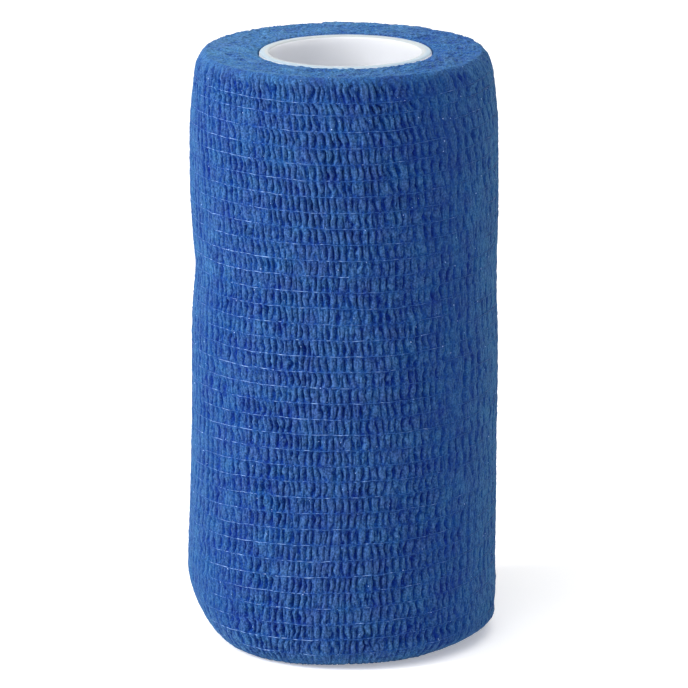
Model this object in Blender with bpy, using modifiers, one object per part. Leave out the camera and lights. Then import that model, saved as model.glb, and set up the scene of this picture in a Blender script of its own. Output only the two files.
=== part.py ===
"""Cohesive bandage roll: one crinkled elastic strip wound on a white tube, standing on its end.

Metres, +Z up along the tube. The origin is the middle of the underside, and -Y is the front.
"""
import math

import bpy
import numpy as np

MM = 0.001

# Driving dimensions of the roll
ROLL_HEIGHT = 100 * MM        # the width of the strip, which is wound square on the tube
OUTER_RADIUS = 25.7 * MM      # the mean radius at half height
STRIP_THICKNESS = 0.7 * MM    # one turn of crinkled cloth, as it lies in the roll

# Driving dimensions of the tube
TUBE_RADIUS = 14.3 * MM
TUBE_WALL = 1.7 * MM
TUBE_RECESS = 0.2 * MM        # the tube ends this far inside each end of the roll
TUBE_LIP = 0.45 * MM          # the rounding of its rims
TUBE_OFFSET = 0.4 * MM        # it sits this far to the right of the outside's middle
CLEARANCE = 0.3 * MM          # between the tube and the first turn

# Elastic threads run round the roll and pinch it into rows
THREAD_COUNT = 36
THREAD_PITCH = 2.67 * MM
THREAD_PINCH = 0.2 * MM       # how far a thread draws the surface in

# Swells and hollows of the hand-wound outside: each is a bell over the height, with its reach up
# and down and what it adds to the radius on the left and on the right.
SWELLS = (
    dict(name="foot bulge", height=8 * MM, reach=16 * MM, left=1.05 * MM, right=-0.3 * MM),
    dict(name="waist", height=64 * MM, reach=4.5 * MM, left=-0.65 * MM, right=-0.25 * MM),
)

# The shoulder leans in over the last stretch of the height.
SHOULDER_HEIGHT = 12 * MM
SHOULDER_DRAW = 1.4 * MM
SHOULDER_POWER = 1.3

# Rounding of the two ends: how far it draws in and how far it reaches along the height. The foot
# is pressed out of shape, most on the left, where the roll has stood on that edge.
TOP_CORNER = dict(draw=1.5 * MM, height=2.7 * MM)
FOOT_CORNERS = {
    "left": dict(draw=5.8 * MM, height=12.2 * MM),
    "front": dict(draw=4.0 * MM, height=4.5 * MM),
    "right": dict(draw=6.2 * MM, height=3.0 * MM),
}
CORNER_POWER = 1.6            # 2 would be a quarter ellipse, and 1 a plain chamfer
SIDE_POWER = 3.8              # how tightly the left and right corners keep to their sides

# The strip's cut end is pressed down on the turn below, at the back.
CUT_END_ANGLE = math.radians(99)
CUT_END_HALF_WIDTH = math.radians(0.8)

# Facets
ROLL_STEPS = 60
TUBE_STEPS = 64
LIP_POINTS = 4


def clear_scene():
    """Remove what the start-up file holds."""
    for item in list(bpy.data.objects):
        bpy.data.objects.remove(item, do_unlink=True)


def make_material(name, colour, roughness, metallic=0.0):
    """A Principled BSDF with one colour."""
    material = bpy.data.materials.new(name)
    material.use_nodes = True
    shader = material.node_tree.nodes["Principled BSDF"]
    shader.inputs["Base Color"].default_value = (*colour, 1.0)
    shader.inputs["Roughness"].default_value = roughness
    shader.inputs["Metallic"].default_value = metallic
    return material


def turned_mesh(name, profile, steps):
    """Turn a closed profile of (radius, height) points round the Z axis.

    The profile runs down its outer side, so that the faces look outwards.
    """
    guide_mesh = bpy.data.meshes.new(name + "_profile")
    points = [(radius, 0.0, height) for radius, height in profile]
    edges = [(index, (index + 1) % len(points)) for index in range(len(points))]
    guide_mesh.from_pydata(points, edges, [])
    guide = bpy.data.objects.new(name + "_profile", guide_mesh)
    bpy.context.scene.collection.objects.link(guide)
    screw = guide.modifiers.new("turn", 'SCREW')
    screw.axis = 'Z'
    screw.angle = math.tau
    screw.steps = steps
    screw.render_steps = steps
    screw.use_merge_vertices = True
    screw.merge_threshold = 0.01 * MM
    evaluated = guide.evaluated_get(bpy.context.evaluated_depsgraph_get())
    turned = bpy.data.meshes.new_from_object(evaluated)
    turned.name = name
    bpy.data.objects.remove(guide, do_unlink=True)
    return turned


def thread_heights():
    """The height of each elastic thread, centred between the two ends."""
    first = (ROLL_HEIGHT - (THREAD_COUNT - 1) * THREAD_PITCH) / 2
    return [first + index * THREAD_PITCH for index in range(THREAD_COUNT)]


def side_heights():
    """Heights of the side's points: each thread, the crest between two threads, and both corners."""
    threads = thread_heights()
    crests = [height + THREAD_PITCH / 2 for height in threads[:-1]]
    edge = threads[0]
    # The corners are steepest at the very ends, so their points bunch towards them.
    corner_parts = (0.0, 0.08, 0.27, 0.6)
    foot = [edge * part for part in corner_parts]
    top = [ROLL_HEIGHT - height for height in foot]
    return sorted(foot + threads + crests + top)


def corner_draw(height, draw, reach):
    """How far a rounded corner lies inside the side, at a height measured from its end."""
    if height >= reach:
        return 0.0
    part = 1.0 - max(0.0, height) / reach
    return draw * (1.0 - (1.0 - part ** CORNER_POWER) ** (1.0 / CORNER_POWER))


def blend_sides(angle, left, middle, right):
    """Blend three values round the roll, where left is -X and right is +X."""
    side = math.cos(angle)
    share = abs(side) ** SIDE_POWER
    return middle + share * ((right if side > 0 else left) - middle)


def foot_corner(angle, key):
    """The draw or the height of the foot's corner at an angle."""
    left, front, right = (FOOT_CORNERS[side][key] for side in ("left", "front", "right"))
    return blend_sides(angle, left, front, right)


def spiral_growth(angle):
    """What the winding adds: one strip's thickness over a turn, with its step at the cut end."""
    turn = ((angle - CUT_END_ANGLE) / math.tau) % 1.0
    return STRIP_THICKNESS * (turn - 0.5)


def wound_radius(angle, height):
    """The outside's radius from its own axis, before the threads pinch it."""
    radius = OUTER_RADIUS + spiral_growth(angle)
    to_right = 0.5 + 0.5 * math.cos(angle)
    for swell in SWELLS:
        bell = math.exp(-((height - swell["height"]) / swell["reach"]) ** 2)
        radius += bell * (swell["left"] * (1.0 - to_right) + swell["right"] * to_right)
    shoulder = max(0.0, 1.0 - (ROLL_HEIGHT - height) / SHOULDER_HEIGHT)
    radius -= SHOULDER_DRAW * shoulder ** SHOULDER_POWER
    radius -= corner_draw(ROLL_HEIGHT - height, TOP_CORNER["draw"], TOP_CORNER["height"])
    radius -= corner_draw(height, foot_corner(angle, "draw"), foot_corner(angle, "height"))
    return radius


def pinch(height):
    """How far the nearest thread draws the surface in at a height."""
    nearest = min(abs(height - thread) for thread in thread_heights())
    return THREAD_PINCH * max(0.0, 1.0 - nearest / (THREAD_PITCH / 2))


def column_angles():
    """The turned mesh's angles, with the two next to the cut end moved close to its edge."""
    step = math.tau / ROLL_STEPS
    before = math.floor(CUT_END_ANGLE / step)
    angles = [index * step for index in range(ROLL_STEPS)]
    angles[before] = CUT_END_ANGLE - CUT_END_HALF_WIDTH
    angles[before + 1] = CUT_END_ANGLE + CUT_END_HALF_WIDTH
    return angles


def make_roll(collection, material):
    """The wound strip: a turned body whose outside is then moved to its uneven wound form."""
    inner = TUBE_RADIUS + CLEARANCE
    side = [(OUTER_RADIUS, height) for height in reversed(side_heights())]
    profile = side + [(inner, 0.0), (inner, ROLL_HEIGHT)]
    mesh = turned_mesh("bandage_roll", profile, ROLL_STEPS)

    angles = column_angles()
    step = math.tau / ROLL_STEPS
    outside_from = (inner + OUTER_RADIUS) / 2
    for vertex in mesh.vertices:
        x, y, height = vertex.co
        column = round((math.atan2(y, x) % math.tau) / step) % ROLL_STEPS
        angle = angles[column]
        if math.hypot(x, y) > outside_from:
            radius = wound_radius(angle, height) - pinch(height)
            vertex.co.x = radius * math.cos(angle)
            vertex.co.y = radius * math.sin(angle)
        else:
            vertex.co.x = TUBE_OFFSET + inner * math.cos(angle)
            vertex.co.y = inner * math.sin(angle)
    return finish_piece("bandage_roll", mesh, collection, material)


def make_tube(collection, material):
    """The tube: a plain wall with small rounded rims, a little inside both ends."""
    bore = TUBE_RADIUS - TUBE_WALL
    low = TUBE_RECESS
    high = ROLL_HEIGHT - TUBE_RECESS

    def rim(centre_radius, centre_height, start):
        """A quarter arc of the lip, turned clockwise from its start angle."""
        turns = np.linspace(start, start - math.pi / 2, LIP_POINTS)
        return [(centre_radius + TUBE_LIP * math.cos(turn), centre_height + TUBE_LIP * math.sin(turn))
                for turn in turns]

    profile = []
    profile += rim(bore + TUBE_LIP, high - TUBE_LIP, math.pi)
    profile += rim(TUBE_RADIUS - TUBE_LIP, high - TUBE_LIP, math.pi / 2)
    profile += rim(TUBE_RADIUS - TUBE_LIP, low + TUBE_LIP, 0.0)
    profile += rim(bore + TUBE_LIP, low + TUBE_LIP, -math.pi / 2)
    mesh = turned_mesh("core_tube", profile, TUBE_STEPS)
    for vertex in mesh.vertices:
        vertex.co.x += TUBE_OFFSET
    return finish_piece("core_tube", mesh, collection, material)


def finish_piece(name, mesh, collection, material):
    """Shade a mesh smooth, give it its material and put it in the collection."""
    mesh.materials.clear()
    mesh.materials.append(material)
    mesh.shade_smooth()
    mesh.set_sharp_from_angle(angle=math.radians(40))
    piece = bpy.data.objects.new(name, mesh)
    collection.objects.link(piece)
    return piece


def centre_on_box(outermost, pieces):
    """Move the pieces so that the outermost one's box is centred on the origin, seen from above."""
    points = np.array([vertex.co[:] for vertex in outermost.data.vertices])
    middle = (points.min(axis=0) + points.max(axis=0)) / 2
    for piece in pieces:
        for vertex in piece.data.vertices:
            vertex.co.x -= middle[0]
            vertex.co.y -= middle[1]


def build():
    """Make the roll and its tube."""
    clear_scene()
    collection = bpy.data.collections.new("cohesive_bandage_roll")
    bpy.context.scene.collection.children.link(collection)
    cloth = make_material("blue_crinkled_nonwoven", (0.026, 0.113, 0.402), 0.9)
    plastic = make_material("white_moulded_plastic", (0.83, 0.84, 0.86), 0.45)
    roll = make_roll(collection, cloth)
    tube = make_tube(collection, plastic)
    centre_on_box(roll, (roll, tube))


build()
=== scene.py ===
# %% [markdown]
# # A cohesive bandage roll
#
# A strip of crinkled blue nonwoven with elastic threads in it, wound on a white plastic tube and
# stood on its end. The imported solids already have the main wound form. This lesson gives them the
# surface that makes a bandage: rows of small puckers between the threads, wound edges on the two
# ends, the threads themselves and a properly finished tube.
#
# Lengths are in metres. A length in millimetres is written as a number times MM.

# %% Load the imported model
import math

import bpy
import numpy as np
from mathutils import Matrix, Vector


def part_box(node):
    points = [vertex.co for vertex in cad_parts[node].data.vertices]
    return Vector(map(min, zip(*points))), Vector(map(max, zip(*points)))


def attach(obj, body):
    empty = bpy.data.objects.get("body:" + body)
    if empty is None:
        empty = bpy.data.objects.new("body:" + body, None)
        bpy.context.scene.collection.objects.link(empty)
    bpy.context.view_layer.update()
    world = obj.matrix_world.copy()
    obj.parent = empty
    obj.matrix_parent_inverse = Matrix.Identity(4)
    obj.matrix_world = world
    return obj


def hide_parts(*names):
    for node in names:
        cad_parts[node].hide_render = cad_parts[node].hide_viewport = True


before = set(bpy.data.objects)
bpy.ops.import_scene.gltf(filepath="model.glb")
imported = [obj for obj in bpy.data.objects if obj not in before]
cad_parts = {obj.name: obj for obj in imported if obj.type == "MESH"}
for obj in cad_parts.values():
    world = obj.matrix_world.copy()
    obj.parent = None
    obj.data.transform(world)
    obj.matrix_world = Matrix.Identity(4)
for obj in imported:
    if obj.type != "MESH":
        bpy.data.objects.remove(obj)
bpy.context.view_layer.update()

MM = 0.001

# %% [markdown]
# ## Camera
#
# The camera stands almost a metre off with a long lens, as for a catalogue picture, so that the
# sides of the roll stay nearly parallel. It looks down a little, which opens the top into a narrow
# ellipse. It is aimed at the roll, and needs no shift.

# %% Find the two axes
ROLL_OFFSET = 0.4 * MM       # the outside's axis lies this far left of the tube's
tube_low, tube_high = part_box("core_tube")
tube_axis = np.array([(tube_low.x + tube_high.x) / 2, (tube_low.y + tube_high.y) / 2])
roll_axis = tube_axis - (ROLL_OFFSET, 0.0)
print("roll's axis in mm:", (roll_axis / MM).round(3))

# %% Aim the camera
CAMERA_DISTANCE = 904.5 * MM
CAMERA_ELEVATION = math.radians(14.37)
CAMERA_ROLL = math.radians(-0.2)
AIM_HEIGHT = 49.69 * MM
SENSOR_WIDTH = 36.0
LENS = 282.1

aim = Vector((roll_axis[0], roll_axis[1], AIM_HEIGHT))
towards_camera = Vector((0.0, -math.cos(CAMERA_ELEVATION), math.sin(CAMERA_ELEVATION)))
camera_data = bpy.data.cameras.new("catalogue_camera")
camera_data.lens = LENS
camera_data.sensor_width = SENSOR_WIDTH
camera = bpy.data.objects.new("catalogue_camera", camera_data)
bpy.context.scene.collection.objects.link(camera)
tilted = Matrix.Rotation(math.pi / 2 - CAMERA_ELEVATION, 4, 'X')
tilted_and_rolled = tilted @ Matrix.Rotation(CAMERA_ROLL, 4, 'Z')
camera.matrix_world = Matrix.Translation(aim + towards_camera * CAMERA_DISTANCE) @ tilted_and_rolled
bpy.context.scene.camera = camera
print("camera at", [round(value, 3) for value in camera.location])

# %% [markdown]
# ## The wound form
#
# The outside is a turned shape that has been handled: the foot bulges on the left, a shallow waist
# runs round above the middle, and the shoulder leans in towards the top. Six slighter swells make
# the sides uneven. The top's corner is sharper at the front and back than on the sides, and the
# foot's corner is pressed in at the front and rounder on the right. The winding also grows by one
# thickness of cloth over a turn, and steps down again at the strip's cut end, at the back. The
# solid is made with the main ones of these formulas, so the cloth lies where the solid is.

# %% Sizes of the roll
ROLL_HEIGHT = 100 * MM
OUTER_RADIUS = 25.7 * MM
STRIP_THICKNESS = 0.7 * MM
TUBE_RADIUS = 14.3 * MM
CLEARANCE = 0.3 * MM
HOLE_RADIUS = TUBE_RADIUS + CLEARANCE
print("hole is", round(2 * HOLE_RADIUS / MM, 1), "mm across")

# %% Swells, shoulder and corners
FOOT_BULGE = dict(height=8 * MM, reach=16 * MM, left=1.05 * MM, right=-0.3 * MM)
WAIST = dict(height=64 * MM, reach=4.5 * MM, left=-0.65 * MM, right=-0.25 * MM)
SLIGHTER_SWELLS = (
    dict(height=90 * MM, reach=8 * MM, left=-0.1 * MM, right=-0.22 * MM),
    dict(height=71 * MM, reach=5 * MM, left=-0.25 * MM, right=0.0 * MM),
    dict(height=58 * MM, reach=4 * MM, left=-0.12 * MM, right=-0.22 * MM),
    dict(height=32 * MM, reach=16 * MM, left=0.2 * MM, right=-0.25 * MM),
    dict(height=8 * MM, reach=3 * MM, left=0.0 * MM, right=0.25 * MM),
    dict(height=5 * MM, reach=6 * MM, left=-0.2 * MM, right=-0.2 * MM),
)
SHOULDER_HEIGHT = 12 * MM
SHOULDER_DRAW = 1.4 * MM
SHOULDER_POWER = 1.3
TOP_DRAW = dict(left=1.5 * MM, front=0.8 * MM, right=1.6 * MM)
TOP_REACH = dict(left=2.7 * MM, front=1.1 * MM, right=2.9 * MM)
FOOT_DRAW = dict(left=6.8 * MM, front=4.9 * MM, right=7.4 * MM)
FOOT_REACH = dict(left=11.6 * MM, front=4.5 * MM, right=3.3 * MM)
FOOT_SKEW = 0.7 * MM         # the front of the foot is rounder on the right
FOOT_PRESS = 0.9 * MM        # and pressed in at the middle
PRESS_WIDTH = 0.06           # of 1 + the angle's sine, which is 0 at the very front
CORNER_POWER = 1.6           # 2 would be a quarter ellipse, and 1 a plain chamfer
SIDE_POWER = 3.8             # how tightly the left and right corners keep to their sides


def corner_draw(height, draw, reach):
    """How far a rounded corner lies inside the side, at a height from its own end."""
    part = 1.0 - np.clip(height / reach, 0.0, 1.0)
    return draw * (1.0 - (1.0 - part ** CORNER_POWER) ** (1.0 / CORNER_POWER))


def by_side(angle, left, front, right):
    """Blend three values round the roll, where left is -X and right is +X. The back is as the front."""
    side = np.cos(angle)
    return front + np.abs(side) ** SIDE_POWER * (np.where(side > 0, right, left) - front)


def wound_radius(angle, turn, height):
    """The outside's radius from the roll's axis, without threads or puckers."""
    radius = OUTER_RADIUS + STRIP_THICKNESS * (turn - 0.5)
    to_right = 0.5 + 0.5 * np.cos(angle)
    for swell in (FOOT_BULGE, WAIST, *SLIGHTER_SWELLS):
        bell = np.exp(-((height - swell["height"]) / swell["reach"]) ** 2)
        radius = radius + bell * (swell["left"] * (1 - to_right) + swell["right"] * to_right)
    shoulder = np.clip(1.0 - (ROLL_HEIGHT - height) / SHOULDER_HEIGHT, 0.0, 1.0)
    radius = radius - SHOULDER_DRAW * shoulder ** SHOULDER_POWER
    top_draw, top_reach = by_side(angle, **TOP_DRAW), by_side(angle, **TOP_REACH)
    radius = radius - corner_draw(ROLL_HEIGHT - height, top_draw, top_reach)
    skewed = np.where(np.sin(angle) < 0, -np.sin(2 * angle), 0.0)
    pressed_in = np.exp(-(1 + np.sin(angle)) / PRESS_WIDTH)
    foot_draw = by_side(angle, **FOOT_DRAW) + FOOT_SKEW * skewed + FOOT_PRESS * pressed_in
    return radius - corner_draw(height, foot_draw, by_side(angle, **FOOT_REACH))


print("waist is", round(wound_radius(math.pi, 0.5, WAIST["height"]) / MM, 2), "mm from the axis on the left")

# %% [markdown]
# ## A grid over the whole outside
#
# The cloth is modelled as one fine grid. Its columns start at the strip's cut end and run once
# round, 0.15 mm apart. Its rings follow the elastic threads, nine to each row between two threads,
# so that every thread has a ring of its own to lie in. A displacement map on a subdivided cylinder
# could do the same, but here the puckers can be tied to the threads.

# %% Rings that follow the threads
THREADS = 36
THREAD_PITCH = 2.67 * MM
MARGIN = (ROLL_HEIGHT - (THREADS - 1) * THREAD_PITCH) / 2
ROW_STEPS = np.array([0.0, 0.08, 0.19, 0.31, 0.44, 0.56, 0.69, 0.81, 0.92])
MARGIN_RINGS = 13
MARGIN_BUNCHING = 1.8        # rings crowd towards the rounded corners

thread_levels = MARGIN + THREAD_PITCH * np.arange(THREADS)
row_levels = (thread_levels[:-1, None] + THREAD_PITCH * ROW_STEPS).ravel()
foot_levels = MARGIN * (np.arange(MARGIN_RINGS) / MARGIN_RINGS) ** MARGIN_BUNCHING
rim_levels = ROLL_HEIGHT - foot_levels[::-1]
levels = np.concatenate([foot_levels, row_levels, thread_levels[-1:], rim_levels])
thread_rings = MARGIN_RINGS + len(ROW_STEPS) * np.arange(THREADS)
RINGS = len(levels)
print(RINGS, "rings,", THREADS, "of them under threads")

# %% Where each ring is in its row
row_numbers = np.clip(np.searchsorted(thread_levels, levels, side="right"), 0, THREADS)
from_thread = np.abs(levels[:, None] - thread_levels).min(axis=1) / THREAD_PITCH
row_crown = np.sin(math.pi * np.minimum(from_thread, 0.5))
print("crown of the rows from", row_crown.min().round(2), "to", row_crown.max().round(2))

# %% Columns that run once round from the cut end
COLUMNS = 1080
CUT_ANGLE = math.radians(99)
STEP_WIDTH = 0.16 * MM       # the cut edge, seen from above

STRIP_LENGTH = math.tau * OUTER_RADIUS
turns = np.linspace(0.0, 1.0, COLUMNS)
step_angle = STEP_WIDTH / OUTER_RADIUS
column_angles = CUT_ANGLE + step_angle / 2 + (math.tau - step_angle) * turns
column_side = np.cos(column_angles)         # from -1 on the left to 1 on the right
print("columns are", round(STRIP_LENGTH / COLUMNS / MM, 3), "mm apart")

# %% [markdown]
# ## Random waves
#
# Hand-made unevenness has a size: a pucker is about as wide as its neighbours, but never the same.
# Noise that has been passed through a window of wavelengths gives that. The window is a Gaussian in
# the noise's spectrum, and every draw has its own seed, so the cloth is the same on each run.

# %% A draw of random waves
GRID = (RINGS, COLUMNS)
SPACING = (ROLL_HEIGHT / RINGS, STRIP_LENGTH / COLUMNS)
BLOB_RATE = 0.35             # waves to a blob's size, give or take, that make blobs of that size
ROWS_APART = 9.0             # so wide a window across the rows that no row is like the next


def random_waves(seed, along=0.0, spread=1.0, across=1.0, shape=GRID, spacing=SPACING):
    """Complex random waves over the cloth, of mean size 1.

    They run along the strip at `along` waves a metre, give or take `spread`, and their pattern
    changes across it over about 1 / `across` metres.
    """
    dice = np.random.default_rng(seed)
    white = dice.standard_normal(shape) + 1j * dice.standard_normal(shape)
    rate_across = np.fft.fftfreq(shape[0], spacing[0])[:, None]
    rate_along = np.fft.fftfreq(shape[1], spacing[1])[None, :]
    window = np.exp(-((rate_along - along) / spread) ** 2 / 2 - (rate_across / across) ** 2 / 2)
    waves = np.fft.ifft2(np.fft.fft2(white) * window)
    return waves / np.sqrt(np.mean(np.abs(waves) ** 2))


def long_noise(seed, along, across, shape=GRID, spacing=SPACING):
    """Noise of spread 1 whose blobs have one size along the strip and another across it."""
    waves = random_waves(seed, 0.0, BLOB_RATE / along, BLOB_RATE / across, shape, spacing)
    return waves.real * math.sqrt(2.0)


def smooth_noise(seed, size, shape=GRID, spacing=SPACING):
    """Noise of spread 1 whose blobs are about `size` metres across."""
    return long_noise(seed, size, size, shape, spacing)


def row_noise(seed, size, rows):
    """Noise along each of several rows, each drawn apart. Its mean square is one half."""
    return random_waves(seed, 0.0, BLOB_RATE / size, ROWS_APART, (rows, COLUMNS), (1.0, SPACING[1])).real


print("random waves fill a grid of", RINGS, "by", COLUMNS, "points")

# %% [markdown]
# ## Puckers
#
# The elastic threads are stretched when the cloth is laid on them. When they shrink back, the
# cloth between two threads is too long and buckles into puckers that stand across the threads.
# Each is a rounded ridge about as tall as its row, with a narrow hollow beside it. Some run on
# into the next row and some don't, so each row gets a shift of its own, which fades at its threads.
# The height is a wave whose phase comes from the random waves, because such a wave forks and ends
# as real folds do. A second draw makes the edges wavy. The puckers are wider on the two sides of
# the roll, and the rows under the rim and at the foot are the most uneven.

# %% Wider puckers on the sides
PUCKER_PITCH = 1.25 * MM
WIDE_AT = (-1.0, -0.8, -0.5, -0.2, 0.3, 0.5, 0.7, 1.0)     # from the left side to the right
WIDENED = (1.5, 1.2, 0.9, 0.92, 1.04, 1.15, 1.5, 1.9)      # how much wider the puckers are there

crowding = 1 / np.interp(column_side, WIDE_AT, WIDENED)
drawn_at = (np.cumsum(crowding) - crowding[0]) / (crowding.sum() - crowding[0]) * (COLUMNS - 1)
narrowest = PUCKER_PITCH / crowding.mean()
print("puckers are drawn", (narrowest / MM).round(2), "mm wide before they are widened")


def widened(values):
    """The same pattern, drawn wider where the roll is pressed and narrower elsewhere."""
    return np.stack([np.interp(drawn_at, np.arange(COLUMNS), ring) for ring in values])


# %% Phase of the puckers
PITCH_SPREAD = 0.22
SLANT_SPREAD = 70.0          # changes a metre across the strip, which lets puckers slant
ROW_SHIFT = 1.0              # radians, from one row to the next
SHIFT_SIZE = 22 * MM         # and how far along the row it holds
SHIFT_FADE = 0.3             # of a row's height, over which one row's shift turns into the next one's
EDGE_WOBBLE = 0.58           # radians, which makes a pucker's edges wavy
WOBBLE_ALONG, WOBBLE_ACROSS = 1.7 * MM, 0.7 * MM
RIM_ROW_HEIGHT, RIM_ROW_RAMP = 4.5 * MM, 1.5 * MM      # the row under the rim is the most uneven one
FOOT_ROWS_HEIGHT, FOOT_ROWS_RAMP = 10 * MM, 4 * MM     # and the rows at the foot come next
RIM_UNEVENNESS, FOOT_UNEVENNESS = 0.9, 0.5

waves = widened(random_waves(11, 1 / narrowest, PITCH_SPREAD / narrowest, SLANT_SPREAD))
row_shifts = ROW_SHIFT * row_noise(12, SHIFT_SIZE, THREADS + 1)
towards_next = np.clip(0.5 - from_thread / SHIFT_FADE, 0.0, 0.5)[:, None]
row_starts = np.append(thread_levels, ROLL_HEIGHT)[np.maximum(row_numbers - 1, 0)]
in_upper_half = levels - row_starts > THREAD_PITCH / 2
neighbours = np.clip(row_numbers + np.where(in_upper_half, 1, -1), 0, THREADS)
own_shift = (1 - towards_next) * row_shifts[row_numbers]
phase = np.angle(waves) + own_shift + towards_next * row_shifts[neighbours]

under_rim = np.clip((levels - ROLL_HEIGHT + RIM_ROW_HEIGHT) / RIM_ROW_RAMP, 0.0, 1.0)[:, None]
near_foot = np.clip((FOOT_ROWS_HEIGHT - levels) / FOOT_ROWS_RAMP, 0.0, 1.0)[:, None]
unevenness = 1 + RIM_UNEVENNESS * under_rim + FOOT_UNEVENNESS * near_foot
wobble = widened(long_noise(27, WOBBLE_ALONG, WOBBLE_ACROSS))
phase = phase + EDGE_WOBBLE * unevenness * wobble
print("rows are up to", unevenness.max().round(2), "times as uneven as the middle ones")

# %% Strength of the puckers
STRENGTH_POWER = 0.4         # 1 leaves some puckers faint, and 0 makes all of them equal
STRENGTH_MEAN, STRENGTH_SPREAD, STRENGTH_PATCH = 0.95, 0.12, 4 * MM

patch_strength = np.clip(STRENGTH_MEAN + STRENGTH_SPREAD * smooth_noise(13, STRENGTH_PATCH), 0.35, 1.5)
strength = np.clip(np.abs(waves), 0.05, 2.0) ** STRENGTH_POWER * patch_strength
print("puckers have strengths from", strength.min().round(2), "to", strength.max().round(2))

# %% Hollows, large and small
HOLLOW_SHAPE = 4.2           # 2 is a plain wave, and more makes the hollows narrower
SHAPE_SPREAD = 0.55          # how unevenly wide a hollow is along its length
WIDTH_ALONG, WIDTH_ACROSS = 1.2 * MM, 0.75 * MM
SMALL_PITCH = 0.66 * MM      # finer puckers, which ride on the large ones
SMALL_PITCH_SPREAD = 0.3
SMALL_SLANT_SPREAD = 350.0
SMALL_SHAPE = 3
LARGE_SHARE, SMALL_SHARE = 0.95, 0.35

width_waves = widened(long_noise(28, WIDTH_ALONG, WIDTH_ACROSS))
hollow_shape = HOLLOW_SHAPE * np.exp(SHAPE_SPREAD * np.clip(width_waves, -2.0, 2.0))
large_hollows = np.abs(np.sin(phase / 2)) ** hollow_shape * strength
small_waves = widened(random_waves(19, 1 / SMALL_PITCH, SMALL_PITCH_SPREAD / SMALL_PITCH, SMALL_SLANT_SPREAD))
small_hollows = np.abs(np.sin(np.angle(small_waves) / 2)) ** SMALL_SHAPE * np.abs(small_waves)
hollow_part = LARGE_SHARE * large_hollows + SMALL_SHARE * small_hollows
print("hollows take up", hollow_part.mean().round(2), "of their depth on average")

# %% [markdown]
# ## Open and pressed puckers
#
# A roll that has been packed and handled isn't equally crinkled all round. Its two sides, and the
# bulge at the foot's left, are pressed: the hollows are shallower there, and patches of them are
# shut. A hollow is also nearly closed under a thread and at the two ends. One value from 0 to 1
# for each point of the grid says how far its puckers are open.

# %% Where the puckers are open and where they are pressed flat
PRESSED_AT = (-1.0, -0.85, -0.6, -0.2, 0.4, 0.7, 1.0)        # from the left side to the right
PRESSED_KEPT = (0.26, 0.58, 0.95, 1.0, 0.86, 0.36, 0.28)     # what is left of a hollow there
SHUT_ANYWHERE = 0.05         # of a hollow's depth, which is lost all over the roll
SHUT_MEAN, SHUT_SPREAD, SHUT_MOST = 0.42, 0.24, 0.95        # and more of it in pressed patches
SHUT_PATCH = 2.0 * MM
THREAD_HOLD = 0.1            # what is left of a hollow under a thread
HOLD_SHAPE = 0.7             # more closes the hollows further away from the threads
END_LEVELS = [0, MARGIN, *(ROLL_HEIGHT - np.array([1.8, 0.9, 0.3, 0.0]) * MM)]
END_KEPT = [0.1, 1.0, 1.0, 0.6, 0.17, 0.03]                  # what is left of a hollow at the ends
LEFT_GAIN = 2.2              # how sharply the foot's left begins, 60 degrees off the very left
FOOT_LEFT_HEIGHT, FOOT_LEFT_RAMP = 24 * MM, 10 * MM
FOOT_LEFT_LOST = 0.55

unpressed = np.interp(column_side, PRESSED_AT, PRESSED_KEPT)
shut_in_patches = np.clip(SHUT_MEAN + SHUT_SPREAD * smooth_noise(29, SHUT_PATCH), 0.0, SHUT_MOST)
shut = SHUT_ANYWHERE + (1 - unpressed) * shut_in_patches
open_hollows = np.clip(hollow_part - shut, 0.0, None) / (1 - shut)
hold = THREAD_HOLD + (1 - THREAD_HOLD) * row_crown ** HOLD_SHAPE
end_fade = np.interp(levels, END_LEVELS, END_KEPT)
on_left = np.clip(-LEFT_GAIN * column_side - LEFT_GAIN / 2, 0.0, 1.0)
foot_left = on_left * np.clip((FOOT_LEFT_HEIGHT - levels) / FOOT_LEFT_RAMP, 0.0, 1.0)[:, None]
openness = unpressed * (hold * end_fade)[:, None] * (1 - FOOT_LEFT_LOST * foot_left)
print("puckers are open by", openness.min().round(2), "to", openness.max().round(2))

# %% [markdown]
# ## Felt and creases
#
# The wound edges on the top are crinkled and furry, and read as felt. It runs over the rim and
# fades out 3 mm below it, so it is drawn once for both. The side has fine unevenness of its own:
# creases, wrinkles along the puckers, and longer folds. They could be left to a bump in the
# material, but real height also shows at the roll's edge, where it breaks the outline.

# %% Felt of the wound edges, which runs over the rim
TOP_RINGS = 44
FELT_RELIEF = 0.09 * MM
COARSE_FELT, FINE_FELT = 0.85 * MM, 0.55 * 0.85 * MM
COARSE_SHARE, FINE_SHARE = 0.8, 0.55
END_SPACING = (0.22 * MM, 0.12 * MM)        # between the points on an end, inwards and round
RIM_FELT_SHARE = 0.5
RIM_FELT_LEVELS = [ROLL_HEIGHT - 3.2 * MM, ROLL_HEIGHT - 2.0 * MM]

felt_shape = (MARGIN_RINGS + TOP_RINGS, COLUMNS)
coarse_felt = smooth_noise(22, COARSE_FELT, felt_shape, END_SPACING)
fine_felt = smooth_noise(26, FINE_FELT, felt_shape, END_SPACING)
felt = COARSE_SHARE * coarse_felt + FINE_SHARE * fine_felt
rim_felt = np.zeros(GRID)
rim_felt[-MARGIN_RINGS:] = RIM_FELT_SHARE * felt[:MARGIN_RINGS]
rim_felt *= np.interp(levels, RIM_FELT_LEVELS, [0.0, 1.0])[:, None]
print("felt's blobs are about", COARSE_FELT / MM, "mm across")

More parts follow.
